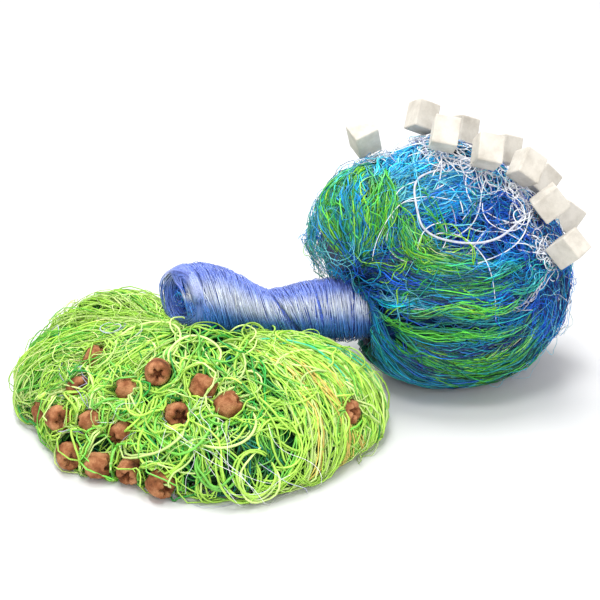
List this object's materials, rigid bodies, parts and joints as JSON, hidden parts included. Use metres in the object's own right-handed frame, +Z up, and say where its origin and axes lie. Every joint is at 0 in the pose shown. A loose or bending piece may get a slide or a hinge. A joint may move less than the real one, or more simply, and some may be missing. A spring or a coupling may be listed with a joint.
{
  "type": "bundled fishing net",
  "caption": "Bundled gill net: a flat mop of green sinker-side netting and a ball of blue float-side netting joined by a tightly wound middle, with clay sinkers and foam floats.",
  "frame": {"origin": "on the floor, under the middle of the whole net's box", "axes": "+X to the right, from the sinker side to the float side; +Y to the back, away from the side with the sinkers; +Z up"},
  "size_m": [0.4476, 0.2788, 0.2162],
  "materials": {
    "lime_netting": "twisted lime green twine with a soft sheen, strands about 1.5 mm",
    "blue_netting": "fine azure to navy mesh with lime, teal and pale strands",
    "blue_skein": "satin periwinkle blue filament, wound tight",
    "fired_clay": "rough unglazed fired clay",
    "white_foam": "cut closed-cell white foam, fine pores",
    "white_cord": "matt white twisted cord and twine"
  },
  "bodies": {
    "root": {"sinker_bundle": "lime_netting", "float_bundle": "blue_netting", "wound_neck": "blue_skein", "sinker_01": "fired_clay", "sinker_02": "fired_clay", "sinker_03": "fired_clay", "sinker_04": "fired_clay", "sinker_05": "fired_clay", "sinker_06": "fired_clay", "sinker_07": "fired_clay", "sinker_08": "fired_clay", "sinker_09": "fired_clay", "sinker_10": "fired_clay", "sinker_11": "fired_clay", "sinker_12": "fired_clay", "sinker_13": "fired_clay", "sinker_14": "fired_clay", "sinker_15": "fired_clay", "sinker_16": "fired_clay", "float_01": "white_foam", "float_02": "white_foam", "float_03": "white_foam", "float_04": "white_foam", "float_05": "white_foam", "float_06": "white_foam", "float_07": "white_foam", "float_08": "white_foam", "float_09": "white_foam", "float_10": "white_foam", "float_11": "white_foam", "float_line": "white_cord", "line_tail": "white_cord"}
  },
  "joints": []
}
